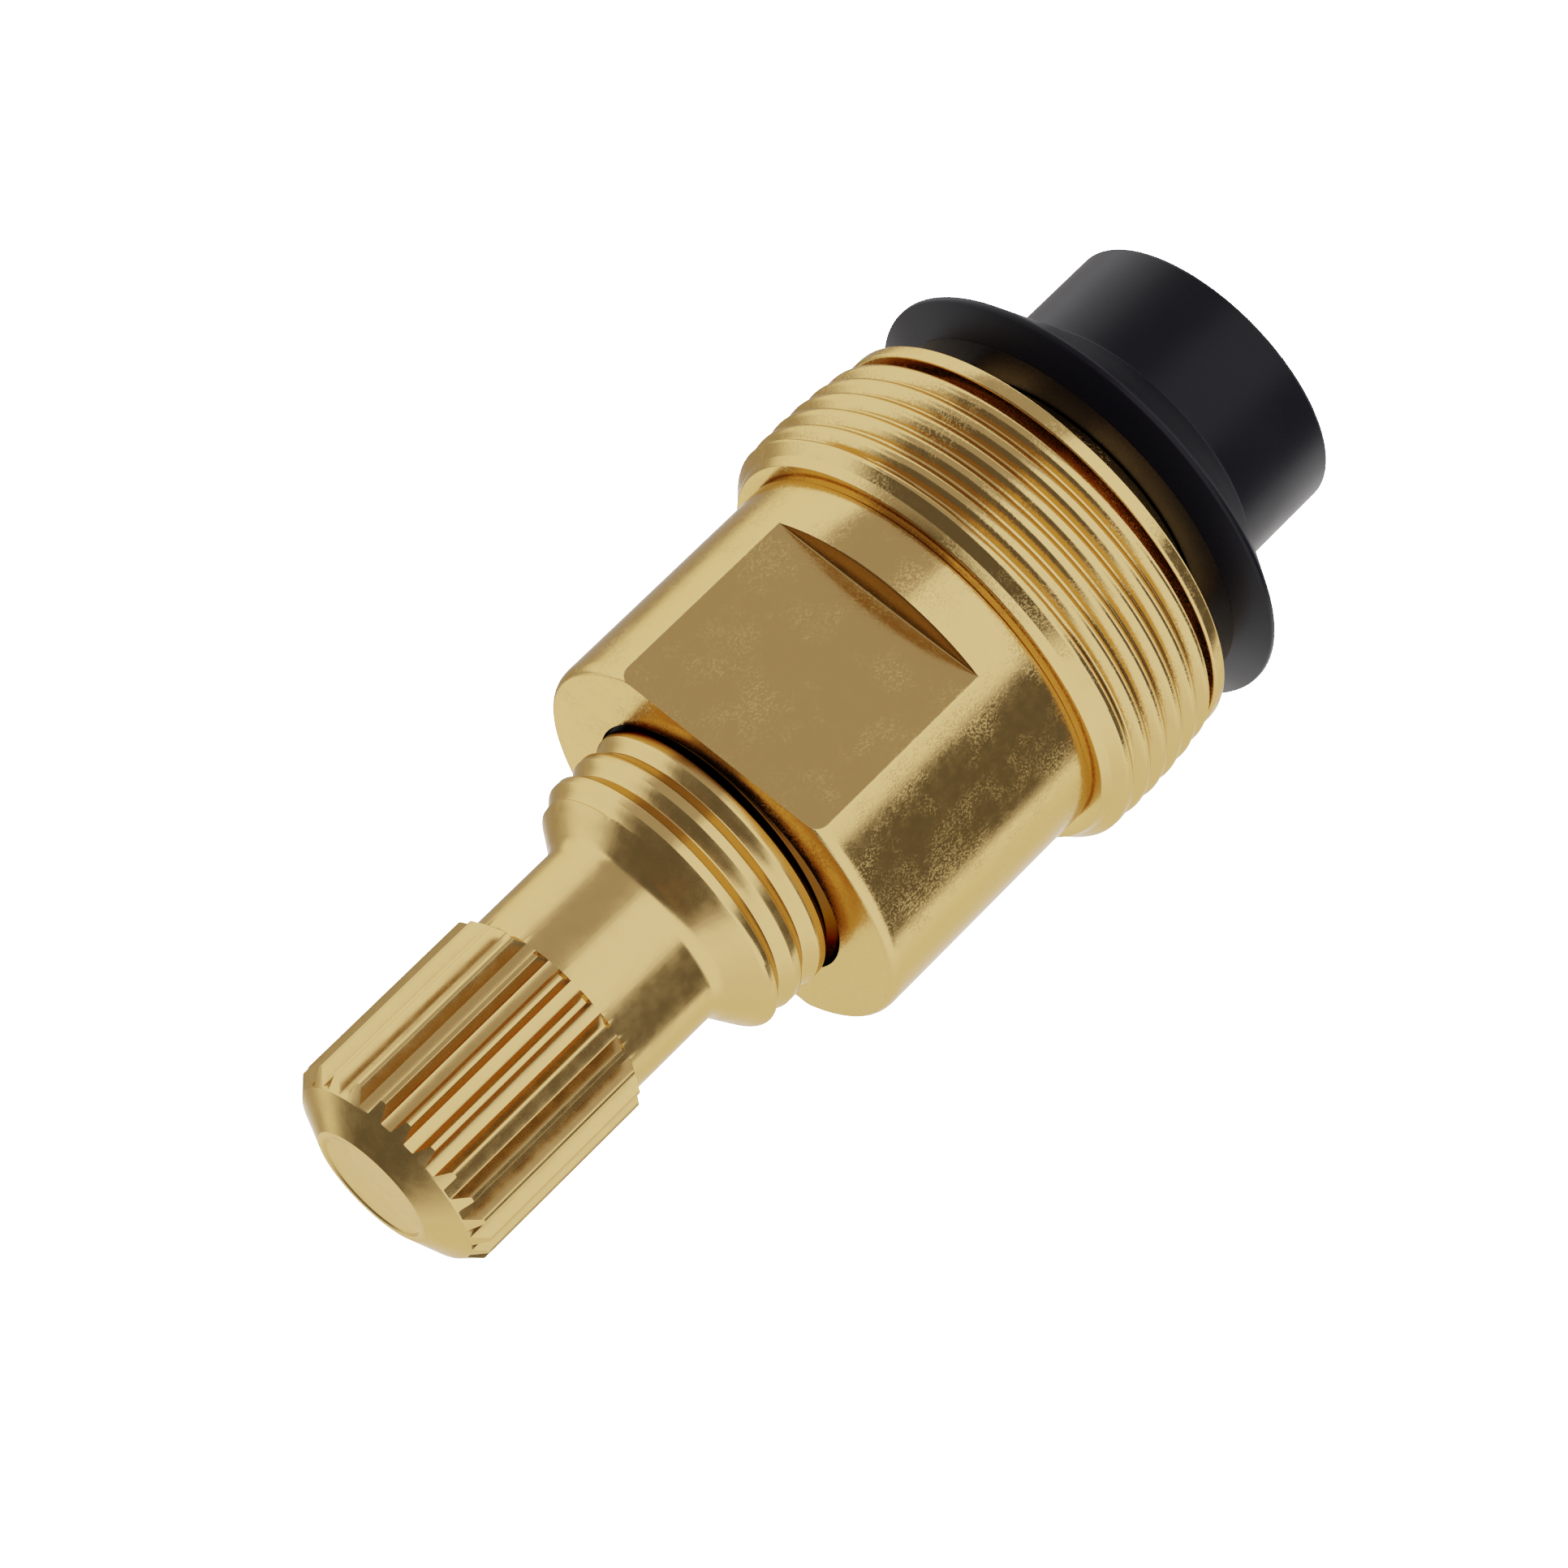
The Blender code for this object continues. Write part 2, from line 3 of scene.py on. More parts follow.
import bmesh
import bpy
import numpy as np
from mathutils import Matrix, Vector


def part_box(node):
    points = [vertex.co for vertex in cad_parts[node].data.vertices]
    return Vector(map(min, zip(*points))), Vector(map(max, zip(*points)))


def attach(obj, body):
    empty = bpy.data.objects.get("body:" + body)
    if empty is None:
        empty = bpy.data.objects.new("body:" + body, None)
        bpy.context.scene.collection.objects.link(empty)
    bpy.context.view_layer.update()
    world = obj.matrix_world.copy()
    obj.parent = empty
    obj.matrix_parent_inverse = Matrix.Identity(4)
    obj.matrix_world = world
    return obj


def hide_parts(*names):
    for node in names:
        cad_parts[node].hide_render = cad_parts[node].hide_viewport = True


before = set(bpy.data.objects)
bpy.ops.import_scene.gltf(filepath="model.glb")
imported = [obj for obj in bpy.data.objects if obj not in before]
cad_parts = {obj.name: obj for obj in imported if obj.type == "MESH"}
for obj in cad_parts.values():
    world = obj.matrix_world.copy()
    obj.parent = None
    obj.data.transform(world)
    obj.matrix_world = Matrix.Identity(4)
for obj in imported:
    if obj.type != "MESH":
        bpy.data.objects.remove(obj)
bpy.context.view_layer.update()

MM = 0.001
TURN = 2.0 * math.pi


def top_of(node):
    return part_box(node)[1][2] / MM


def bottom_of(node):
    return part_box(node)[0][2] / MM


# Heights taken from the frame, in millimetres
HAT_TOP = top_of("diaphragm")
STUD_TOP = top_of("swivel_foot")
RING_BOTTOM = bottom_of("friction_ring")
RING_TOP = top_of("friction_ring")
BONNET_END = RING_TOP + 0.55
BONNET_FACE = top_of("bonnet")
SPIGOT_END = bottom_of("bonnet")
SPINDLE_END = bottom_of("spindle")
NOSE_TOP = top_of("spindle")
SNAP_BOTTOM = bottom_of("retaining_ring")
SNAP_TOP = top_of("retaining_ring")

# The side of the stem that faces the photograph's camera
FRONT = math.radians(-109.9)

# Sizes of the pieces, in millimetres, with slopes as ratios

# Body thread of the bonnet
BODY_RADIUS = 11.08
BODY_BARREL = 0.021
BODY_PITCH = 1.058
BODY_CREST_ROUND = 0.30
BODY_FLANK = math.radians(49.0)
BODY_ROOT_HALF = 0.05
BODY_GROOVE = BONNET_END + 1.78
BODY_WIDEST = BONNET_END + 3.52
BEAD_START = BONNET_END + 5.45
RUNOUT = 0.40

# Barrel of the bonnet and its wrench flats
BARREL_RADIUS = 9.66
UNDERCUT_RADIUS = 9.54
FLAT_DISTANCE = 15.93 / 2.0
FLAT_START = BONNET_FACE - 9.77
FLAT_EDGE = 0.05
SHELF_HEIGHT = FLAT_START - 0.06
FLAT_COLUMNS = 64
SIDE_COLUMNS = 96
CROWDING = 0.8
FACE_ROUND = 0.60
FACE_NARROWING = 0.30

# Inside of the bonnet and its spigot
NUT_BOTTOM = BONNET_FACE - 7.95
NUT_CREST_RADIUS = 6.30
NUT_CREST_HALF = 0.08
NUT_DEPTH = 0.48
NUT_SLOPE = 1.05
NUT_ROWS = 16
MOUTH_RADIUS = 6.75
MOUTH_FLOOR = BONNET_FACE - 0.30
# Painted shade: faces of the nut's thread inside this radius and below this height are coloured dark in
# place of the shade inside the bonnet
MOUTH_SHADE_TOP = BONNET_FACE - 0.08
MOUTH_SHADE_RADIUS = MOUTH_RADIUS + 0.1
CHAMBER_RADIUS = 7.58
SPIGOT_RADIUS = 8.60
LIP_RADIUS = SPIGOT_RADIUS + 0.42
LIP_TOP = RING_BOTTOM - 0.51
LIP_END = RING_BOTTOM - 0.30

# Stem thread and collar of the spindle
STEM_RADIUS = 6.567
STEM_DEPTH = 0.43
STEM_CREST = 0.42
STEM_LEAD = 1.458
STEM_FLANK = 1.15
STEM_EASE = 0.022
STEM_ROUNDING = 0.006
STEM_GROOVE = BONNET_FACE + 2.85
STEM_END = BONNET_FACE + 3.88 - 11.60
STEM_RUNOUT = 0.8
COLLAR_TOP = BONNET_FACE + 3.87
COLLAR_CORNER = BONNET_FACE + 5.24
THREAD_TOP = COLLAR_TOP + 0.62
# Painted shade: below this height, just above the bonnet's face, the stem's brass is coloured dark brown in
# place of the shade inside the bonnet's mouth
SHADE_LINE = BONNET_FACE + 0.42

# Neck, spline and nose of the spindle
NECK_RADIUS = 4.72
SPLINE_RADIUS = 5.28
SPLINE_TEETH = 24
SPLINE_PHASE = math.radians(3.37)
SPLINE_START = NOSE_TOP - 10.61
SPLINE_END = NOSE_TOP - 0.86
SPLINE_LOW_SLOPE = 0.643
SPLINE_HIGH_SLOPE = 0.60 / 0.56
NOSE_RIM_RADIUS = 3.00
DISH_RADIUS = 2.72
DISH_FLOOR_RADIUS = 2.56
DISH_EDGE_DEPTH = 0.06
DISH_DEPTH = 0.07

# Shank of the spindle and its end bore
SHANK_RADIUS = 5.604
SHANK_CHAMFER = 0.2
BORE_RADIUS = 2.60
BORE_GROOVE_RADIUS = 3.40
SNAP_ROOM = 0.3
STUD_ROOM = 0.3

# Ring
RING_RADIUS = 10.67
RING_GAP = 0.30

# Swivel foot
FOOT_RADIUS = 5.28
FOOT_BOTTOM = 2.60
FLANGE_RADIUS = 7.28
FLANGE_TOP = HAT_TOP + 4.0
STUD_RADIUS = 2.30
STUD_NECK_RADIUS = 1.80

# Diaphragm
CROWN_RADIUS = 7.08
CROWN_TOP = 5.40
BRIM_RADIUS = 10.93
BRIM_BOTTOM = 8.24
BRIM_TOP = 8.50
BRIM_SHOULDER = 9.43
SEAT_RADIUS = FLANGE_RADIUS + 0.06
SEAT_RIM = HAT_TOP - 0.28
SEAT_FLOOR = HAT_TOP - 0.30
POCKET_RADIUS = 5.58
POCKET_FLOOR = 2.30

# Limits of the mesh work
FILLET_REACH = 0.48
ON_AXIS = 1e-6
ON_RING = 1e-4
MERGE_METRES = 1e-7
SHARP_ANGLE = math.radians(38.0)


def climb(angles, lead, hand):
    """Height that a thread gains from the front to each angle."""
    return hand * lead * (angles - FRONT) / TURN


class Skin:
    """Vertices and faces of a piece that grows ring by ring round Z."""

    def __init__(self):
        self.points = []
        self.faces = []
        self.count = 0

    def ring(self, radii, heights, angles):
        """Adds one vertex at each angle and returns their numbers."""
        radii = np.broadcast_to(radii, angles.shape)
        heights = np.broadcast_to(heights, angles.shape)
        self.points.append(np.stack([radii * np.cos(angles), radii * np.sin(angles), heights], axis=1))
        first = self.count
        self.count += len(angles)
        return np.arange(first, self.count)

    def point(self, height):
        """Adds one vertex on the axis and returns its number."""
        self.points.append(np.array([[0.0, 0.0, height]]))
        self.count += 1
        return self.count - 1

    def band(self, lower, upper):
        """Faces between two rings, the lower one first, facing outwards."""
        self.quads(lower, np.roll(lower, -1), np.roll(upper, -1), upper)

    def quads(self, a, b, c, d):
        """Faces over four rows of numbers, where corners that fall together count once."""
        for quad in zip(a.tolist(), b.tolist(), c.tolist(), d.tolist()):
            corners = list(dict.fromkeys(quad))
            if len(corners) > 2:
                self.faces.append(corners)

    def fan(self, ring, centre, upwards):
        """Triangles between a ring and a vertex on the axis."""
        follow = np.roll(ring, -1)
        for a, b in zip(ring.tolist(), follow.tolist()):
            self.faces.append([a, b, centre] if upwards else [b, a, centre])

    def lathe(self, profile, angles, start=None):
        """Rings along (radius, height) points that run up the outer side of a solid."""
        lower = start
        apex = None
        for radius, height in profile:
            if radius <= ON_AXIS:
                apex = self.point(height)
                if lower is not None:
                    self.fan(lower, apex, upwards=True)
                lower = None
                continue
            upper = self.ring(radius, height, angles)
            if lower is not None:
                self.band(lower, upper)
            elif apex is not None:
                self.fan(upper, apex, upwards=False)
            lower = upper
        return lower

    def helix(self, bottom, top, angles, low, high, radius_at, offsets, groove, lead, hand):
        """Thread between two rings, on rows that climb with the helix."""
        turns = climb(angles, lead, hand)
        first = math.floor((low - lead - groove) / lead) - 1
        last = math.ceil((high + lead - groove) / lead) + 1
        starts = groove + lead * np.arange(first, last + 1)
        rows = (starts[:, None] + offsets[None, :]).ravel()
        heights = rows[:, None] + turns[None, :]
        numbers = np.where(heights <= low + ON_RING, bottom[None, :], top[None, :])
        inside = (heights > low + ON_RING) & (heights < high - ON_RING)
        phases = np.broadcast_to(rows[:, None], heights.shape)[inside]
        sides = np.broadcast_to(angles[None, :], heights.shape)[inside]
        radii = radius_at(heights[inside], phases)
        self.points.append(np.stack([radii * np.cos(sides), radii * np.sin(sides), heights[inside]], axis=1))
        numbers[inside] = np.arange(self.count, self.count + inside.sum())
        self.count += int(inside.sum())
        size = len(rows)
        seam = np.clip(np.arange(size) + hand * len(offsets), 0, size - 1)
        wrapped = np.concatenate([numbers[:, 1:], numbers[seam, :1]], axis=1)
        for i in range(size - 1):
            self.quads(numbers[i], wrapped[i], wrapped[i + 1], numbers[i + 1])

    def build(self, name):
        """Makes the object, in metres, with smooth shading up to the sharp angle."""
        mesh = bpy.data.meshes.new(name)
        mesh.from_pydata((np.concatenate(self.points) * MM).tolist(), [], self.faces)
        mesh.validate()
        form = bmesh.new()
        form.from_mesh(mesh)
        bmesh.ops.remove_doubles(form, verts=form.verts[:], dist=MERGE_METRES)
        bmesh.ops.recalc_face_normals(form, faces=form.faces[:])
        form.to_mesh(mesh)
        form.free()
        mesh.shade_smooth()
        mesh.set_sharp_from_angle(angle=SHARP_ANGLE)
        made = bpy.data.objects.new(name, mesh)
        bpy.context.scene.collection.objects.link(made)
        return made


def angle_between(a, b, lengths=1.0):
    """Angle between two vectors; lengths is the product of their lengths."""
    return math.acos(max(-1.0, min(1.0, float(a @ b) / lengths)))


def rounded(points, steps=5):
    """(radius, height, fillet) corners turned into a smooth line of (radius, height)."""
    line = []
    for i, (radius, height, fillet) in enumerate(points):
        here = np.array([radius, height])
        if fillet <= 0.0 or i in (0, len(points) - 1):
            line.append((radius, height))
            continue
        back = np.array(points[i - 1][:2]) - here
        ahead = np.array(points[i + 1][:2]) - here
        back_length = np.linalg.norm(back)
        ahead_length = np.linalg.norm(ahead)
        back /= back_length
        ahead /= ahead_length
        half = angle_between(back, ahead) / 2.0
        room = FILLET_REACH * min(back_length, ahead_length)
        reach = min(fillet / math.tan(half), room)
        size = reach * math.tan(half)
        bisector = (back + ahead) / np.linalg.norm(back + ahead)
        centre = here + bisector * (size / math.sin(half))
        start = here + back * reach - centre
        end = here + ahead * reach - centre
        span = angle_between(start, end, size ** 2)
        for k in range(steps + 1):
            part = k / steps
            spot = (math.sin((1.0 - part) * span) * start + math.sin(part * span) * end) / math.sin(span)
            line.append(tuple(centre + spot))
    return line


def even_angles(count):
    """Angles in even steps, which start at the back."""
    return FRONT + math.pi + TURN * np.arange(count) / count


def crowded(count):
    """Steps from 0 to 1 that stand closer together at both ends."""
    part = np.arange(count) / count
    return part - CROWDING * np.sin(TURN * part) / TURN


# Bonnet

def flat_angles(radius):
    """Angles round the barrel, with columns on the edges of both flats."""
    half = math.acos(min(FLAT_DISTANCE / radius, 1.0))
    quarter = math.pi / 2.0
    flat = crowded(FLAT_COLUMNS) * 2.0 * half
    side = crowded(SIDE_COLUMNS) * (math.pi - 2.0 * half)
    return np.concatenate([
        quarter - half + flat,
        quarter + half + side,
        3.0 * quarter - half + flat,
        3.0 * quarter + half + side,
    ])


def soft_min(a, b, width):
    """The smaller of two values, with a soft change from one to the other."""
    blend = np.clip(0.5 + 0.5 * (b - a) / width, 0.0, 1.0)
    return b * (1.0 - blend) + a * blend - width * blend * (1.0 - blend)


def flat_cut(radius, angles, share=1.0):
    """Radius of the barrel where the two flats cut it."""
    facing = np.abs(np.sin(angles))
    cut = soft_min(np.full(angles.shape, radius), FLAT_DISTANCE / np.maximum(facing, 1e-3), FLAT_EDGE)
    return radius + (cut - radius) * share


def body_crest(height):
    """Radius of the body thread's crests, which swell a little in the middle."""
    return BODY_RADIUS - BODY_BARREL * (height - BODY_WIDEST) ** 2


def body_form(phase):
    """Depth of the body thread: crests rounded to an arc between straight flanks."""
    off = np.abs((phase - BODY_GROOVE + BODY_PITCH / 2.0) % BODY_PITCH - BODY_PITCH / 2.0)
    off = np.maximum(off, BODY_ROOT_HALF)
    from_crest = BODY_PITCH / 2.0 - off
    arc = BODY_CREST_ROUND * math.sin(BODY_FLANK)
    rise = BODY_CREST_ROUND - np.sqrt(BODY_CREST_ROUND ** 2 - np.minimum(from_crest, arc) ** 2)
    return rise + np.maximum(from_crest - arc, 0.0) * math.tan(BODY_FLANK)


def body_radius(height, phase):
    """Radius of the body thread, which fades out below the bead."""
    fade = np.clip((height - BEAD_START + RUNOUT) / RUNOUT, 0.0, 1.0)
    return body_crest(height) - body_form(phase) * (1.0 - fade)


def nut_radius(height, phase):
    """Radius of the nut's thread, the same at every height, with ridges in the stem's grooves."""
    off = np.abs((phase - STEM_GROOVE + STEM_LEAD / 2.0) % STEM_LEAD - STEM_LEAD / 2.0)
    return NUT_CREST_RADIUS + np.clip((off - NUT_CREST_HALF) / NUT_SLOPE, 0.0, NUT_DEPTH)


def make_bonnet():
    skin = Skin()
    angles = flat_angles(BARREL_RADIUS)
    body_offsets = BODY_PITCH * np.array([
        -0.052, -0.02, 0.02, 0.052, 0.09, 0.13, 0.175, 0.22, 0.27, 0.32, 0.37, 0.42, 0.46,
        0.50, 0.54, 0.58, 0.63, 0.68, 0.73, 0.78, 0.825, 0.87, 0.91,
    ])
    end_phase = BONNET_END - climb(angles, BODY_PITCH, 1)
    low_ring = skin.ring(body_radius(BONNET_END, end_phase), BONNET_END, angles)
    high_ring = skin.ring(body_crest(BEAD_START), BEAD_START, angles)
    skin.helix(
        low_ring, high_ring, angles, BONNET_END, BEAD_START,
        body_radius, body_offsets, BODY_GROOVE, BODY_PITCH, 1,
    )

    bead = rounded([
        (body_crest(BEAD_START), BEAD_START, 0.0),
        (10.95, BEAD_START + 0.07, 0.12),
        (10.50, BEAD_START + 0.46, 0.10),
        (10.28, BEAD_START + 0.86, 0.07),
        (UNDERCUT_RADIUS, BEAD_START + 0.80, 0.0),
        (UNDERCUT_RADIUS, BEAD_START + 0.94, 0.02),
        (BARREL_RADIUS, BEAD_START + 1.05, 0.03),
        (BARREL_RADIUS, SHELF_HEIGHT, 0.0),
    ])
    ring = skin.lathe(bead[1:], angles, high_ring)

    # The shelf at the foot of each flat: share of the cut and height above the barrel's last ring
    shelf = [
        (0.0, 0.0), (0.01, 0.02), (0.035, 0.035), (0.08, 0.044), (0.5, 0.050), (0.950, 0.054),
        (0.963, 0.057), (0.976, 0.066), (0.987, 0.081), (0.995, 0.102), (1.0, 0.130),
    ]
    for share, rise in shelf:
        upper = skin.ring(flat_cut(BARREL_RADIUS, angles, share), SHELF_HEIGHT + rise, angles)
        skin.band(ring, upper)
        ring = upper

    edge = [(BARREL_RADIUS, height) for height in np.linspace(FLAT_START + 0.5, BONNET_FACE - FACE_ROUND, 6)]
    for part in (0.2, 0.4, 0.55, 0.7, 0.8, 0.88, 0.94, 0.98, 1.0):
        fall = FACE_NARROWING * (1.0 - math.sqrt(1.0 - part ** 2))
        edge.append((BARREL_RADIUS - fall, BONNET_FACE - FACE_ROUND * (1.0 - part)))
    for radius, height in edge:
        row = flat_angles(radius)
        edge_radius = flat_cut(radius, row)
        upper = skin.ring(edge_radius, height, row)
        skin.band(ring, upper)
        ring = upper

    face = rounded([
        (0.0, BONNET_FACE, 0.0),
        (MOUTH_RADIUS, BONNET_FACE, 0.05),
        (MOUTH_RADIUS, MOUTH_FLOOR, 0.0),
    ])
    for share in (0.02, 0.06, 0.5):
        face_radius = edge_radius + (face[1][0] - edge_radius) * share
        upper = skin.ring(face_radius, BONNET_FACE, row + (angles - row) * share)
        skin.band(ring, upper)
        ring = upper
    ring = skin.lathe(face[1:], angles, ring)

    turns = climb(angles, STEM_LEAD, -1)
    mouth = skin.ring(nut_radius(MOUTH_FLOOR, MOUTH_FLOOR - turns), MOUTH_FLOOR, angles)
    skin.band(ring, mouth)
    nut_ring = skin.ring(nut_radius(NUT_BOTTOM, NUT_BOTTOM - turns), NUT_BOTTOM, angles)
    nut_offsets = STEM_LEAD * np.linspace(0.0, 1.0, NUT_ROWS, endpoint=False)
    skin.helix(
        nut_ring, mouth, angles, NUT_BOTTOM, MOUTH_FLOOR,
        nut_radius, nut_offsets, STEM_GROOVE, STEM_LEAD, -1,
    )
    last = skin.lathe([
        (CHAMBER_RADIUS, NUT_BOTTOM),
        (CHAMBER_RADIUS, SPIGOT_END),
        (LIP_RADIUS, SPIGOT_END),
        (LIP_RADIUS, LIP_TOP),
        (SPIGOT_RADIUS, LIP_END),
        (SPIGOT_RADIUS, BONNET_END),
    ], angles, nut_ring)
    skin.band(last, low_ring)
    return skin.build("bonnet_turned")


# Spindle

def tooth_columns():
    """Angles and radii of the spline, column by column round the spindle."""
    # Half a tooth, from its middle to the groove's middle: degrees and drop below the crest
    half = [0.0, 1.0, 1.35, 1.6, 2.0, 3.8, 4.3, 5.0, 7.5]
    fall = [0.0, 0.0, 0.010, 0.045, 0.116, 0.463, 0.540, 0.558, 0.560]
    offsets = [-a for a in half[:0:-1]] + half[:-1]
    falls = fall[:0:-1] + fall[:-1]
    step = TURN / SPLINE_TEETH
    angles = []
    radii = []
    for tooth in range(SPLINE_TEETH):
        for offset, drop in zip(offsets, falls):
            angles.append(SPLINE_PHASE + tooth * step + math.radians(offset))
            radii.append(SPLINE_RADIUS - drop)
    return np.array(angles), np.array(radii)


def make_spindle():
    skin = Skin()
    angles, spline = tooth_columns()
    mouth_half = (STEM_LEAD - STEM_CREST) / 2.0
    bottom_half = mouth_half - STEM_DEPTH * STEM_FLANK
    # Places across half a groove, from its middle: the eased corner at its bottom, then at its mouth
    bottom_corner = [bottom_half - STEM_EASE, bottom_half, bottom_half + STEM_EASE]
    mouth_corner = [mouth_half - STEM_EASE, mouth_half, mouth_half + STEM_EASE]
    flank_middle = (bottom_half + mouth_half) / 2.0
    crest_side = STEM_LEAD / 2.0 - 0.06
    half = [0.0] + bottom_corner + [flank_middle] + mouth_corner + [crest_side]
    offsets = np.array([-a for a in half[:0:-1]] + half)
    eased = STEM_EASE / STEM_FLANK
    form_places = [0.0] + bottom_corner + mouth_corner + [STEM_LEAD]
    form_depths = [
        STEM_DEPTH, STEM_DEPTH, STEM_DEPTH - STEM_ROUNDING, STEM_DEPTH - eased,
        eased, STEM_ROUNDING, 0.0, 0.0,
    ]
    collar = rounded([
        (STEM_RADIUS, COLLAR_TOP - 1.0, 0.0),
        (STEM_RADIUS, COLLAR_TOP, 0.14),
        (NECK_RADIUS, COLLAR_CORNER, 0.90),
        (NECK_RADIUS, COLLAR_CORNER + 2.0, 0.0),
    ], steps=10)
    outer_heights = [STEM_END, STEM_END + STEM_RUNOUT] + [height for _, height in collar]
    outer_radii = [SHANK_RADIUS, STEM_RADIUS] + [radius for radius, _ in collar]

    def stem_radius(height, phase):
        """Radius of the stem thread, which ends in the shank and in the collar's slope."""
        off = np.abs((phase - STEM_GROOVE + STEM_LEAD / 2.0) % STEM_LEAD - STEM_LEAD / 2.0)
        outer = np.interp(height, outer_heights, outer_radii)
        return np.minimum(outer, STEM_RADIUS - np.interp(off, form_places, form_depths))

    top_phase = THREAD_TOP - climb(angles, STEM_LEAD, -1)
    low_ring = skin.ring(SHANK_RADIUS, STEM_END, angles)
    high_ring = skin.ring(stem_radius(THREAD_TOP, top_phase), THREAD_TOP, angles)
    skin.helix(
        low_ring, high_ring, angles, STEM_END, THREAD_TOP,
        stem_radius, offsets, STEM_GROOVE, STEM_LEAD, -1,
    )
    slope = [(radius, height) for radius, height in collar if height > THREAD_TOP + 0.03]
    ring = skin.lathe(slope, angles, high_ring)

    # The spline's ends slope, so each column has its own two end heights
    rise = spline - NECK_RADIUS
    low_ends = SPLINE_START + rise * SPLINE_LOW_SLOPE
    high_ends = SPLINE_END - rise * SPLINE_HIGH_SLOPE
    rows = [(NECK_RADIUS, SPLINE_START - 0.6), (NECK_RADIUS, SPLINE_START - 0.01)]
    for part in (0.05, 0.5, 1.0):
        rows.append((NECK_RADIUS + rise * part, SPLINE_START + (low_ends - SPLINE_START) * part))
    for part in (0.02, 0.3, 0.7, 0.98, 1.0):
        rows.append((spline, low_ends + (high_ends - low_ends) * part))
    for part in (0.04, 0.5, 0.95):
        rows.append((spline - rise * part, high_ends + (SPLINE_END - high_ends) * part))
    rows.append((NECK_RADIUS, SPLINE_END))
    for radii, heights in rows:
        upper = skin.ring(radii, heights, angles)
        skin.band(ring, upper)
        ring = upper

    nose = rounded([
        (NECK_RADIUS, SPLINE_END, 0.0),
        (NECK_RADIUS - 0.05, SPLINE_END + 0.05, 0.04),
        (NOSE_RIM_RADIUS, NOSE_TOP, 0.10),
        (DISH_RADIUS, NOSE_TOP, 0.12),
        (DISH_FLOOR_RADIUS, NOSE_TOP - DISH_EDGE_DEPTH, 0.15),
        (0.0, NOSE_TOP - DISH_DEPTH, 0.0),
    ])
    skin.lathe(nose[1:], angles, ring)
    skin.lathe([
        (SHANK_RADIUS, STEM_END - 0.02),
        (SHANK_RADIUS, SPINDLE_END + SHANK_CHAMFER),
        (SHANK_RADIUS - SHANK_CHAMFER, SPINDLE_END),
        (BORE_RADIUS, SPINDLE_END),
        (BORE_RADIUS, SNAP_BOTTOM - SNAP_ROOM),
        (BORE_GROOVE_RADIUS, SNAP_BOTTOM - SNAP_ROOM),
        (BORE_GROOVE_RADIUS, SNAP_TOP + SNAP_ROOM),
        (BORE_RADIUS, SNAP_TOP + SNAP_ROOM),
        (BORE_RADIUS, STUD_TOP + STUD_ROOM),
        (0.0, STUD_TOP + STUD_ROOM),
    ], angles, low_ring)
    return skin.build("spindle_turned")


# Ring, foot and diaphragm

def make_ring():
    skin = Skin()
    angles = even_angles(256)
    bore = SPIGOT_RADIUS + RING_GAP
    middle = (RING_BOTTOM + RING_TOP) / 2.0
    line = rounded([
        (bore, middle, 0.0),
        (bore, RING_BOTTOM, 0.06),
        (RING_RADIUS, RING_BOTTOM, 0.14),
        (RING_RADIUS, RING_TOP, 0.16),
        (bore, RING_TOP, 0.06),
        (bore, middle + 0.05, 0.0),
    ])
    first = skin.ring(line[0][0], line[0][1], angles)
    last = skin.lathe(line[1:], angles, first)
    skin.band(last, first)
    return skin.build("slip_ring")


def make_foot():
    skin = Skin()
    line = rounded([
        (0.0, FOOT_BOTTOM, 0.0),
        (FOOT_RADIUS, FOOT_BOTTOM, 0.60),
        (FOOT_RADIUS, HAT_TOP, 0.0),
        (FLANGE_RADIUS, HAT_TOP, 0.10),
        (FLANGE_RADIUS, FLANGE_TOP, 0.30),
        (STUD_RADIUS, FLANGE_TOP, 0.0),
        (STUD_RADIUS, SNAP_BOTTOM - SNAP_ROOM, 0.0),
        (STUD_NECK_RADIUS, SNAP_BOTTOM - SNAP_ROOM, 0.0),
        (STUD_NECK_RADIUS, SNAP_TOP + SNAP_ROOM, 0.0),
        (STUD_RADIUS, SNAP_TOP + SNAP_ROOM, 0.0),
        (STUD_RADIUS, STUD_TOP, 0.35),
        (0.0, STUD_TOP, 0.0),
    ])
    skin.lathe(line, even_angles(192))
    return skin.build("swivel_foot_turned")


def make_hat():
    skin = Skin()
    line = rounded([
        (0.0, 0.0, 0.0),
        (CROWN_RADIUS, 0.0, 0.22),
        (CROWN_RADIUS, CROWN_TOP, 0.10),
        (BRIM_RADIUS, BRIM_BOTTOM, 0.16),
        (BRIM_RADIUS, BRIM_TOP, 0.16),
        (BRIM_SHOULDER, HAT_TOP, 0.12),
        (SEAT_RADIUS, HAT_TOP, 0.04),
        (SEAT_RADIUS, SEAT_RIM, 0.0),
        (POCKET_RADIUS, SEAT_FLOOR, 0.0),
        (POCKET_RADIUS, POCKET_FLOOR, 0.60),
        (0.0, POCKET_FLOOR, 0.0),
    ], steps=8)
    skin.lathe(line, even_angles(256))
    return skin.build("diaphragm_moulded")


# Colours and bump depths of the materials

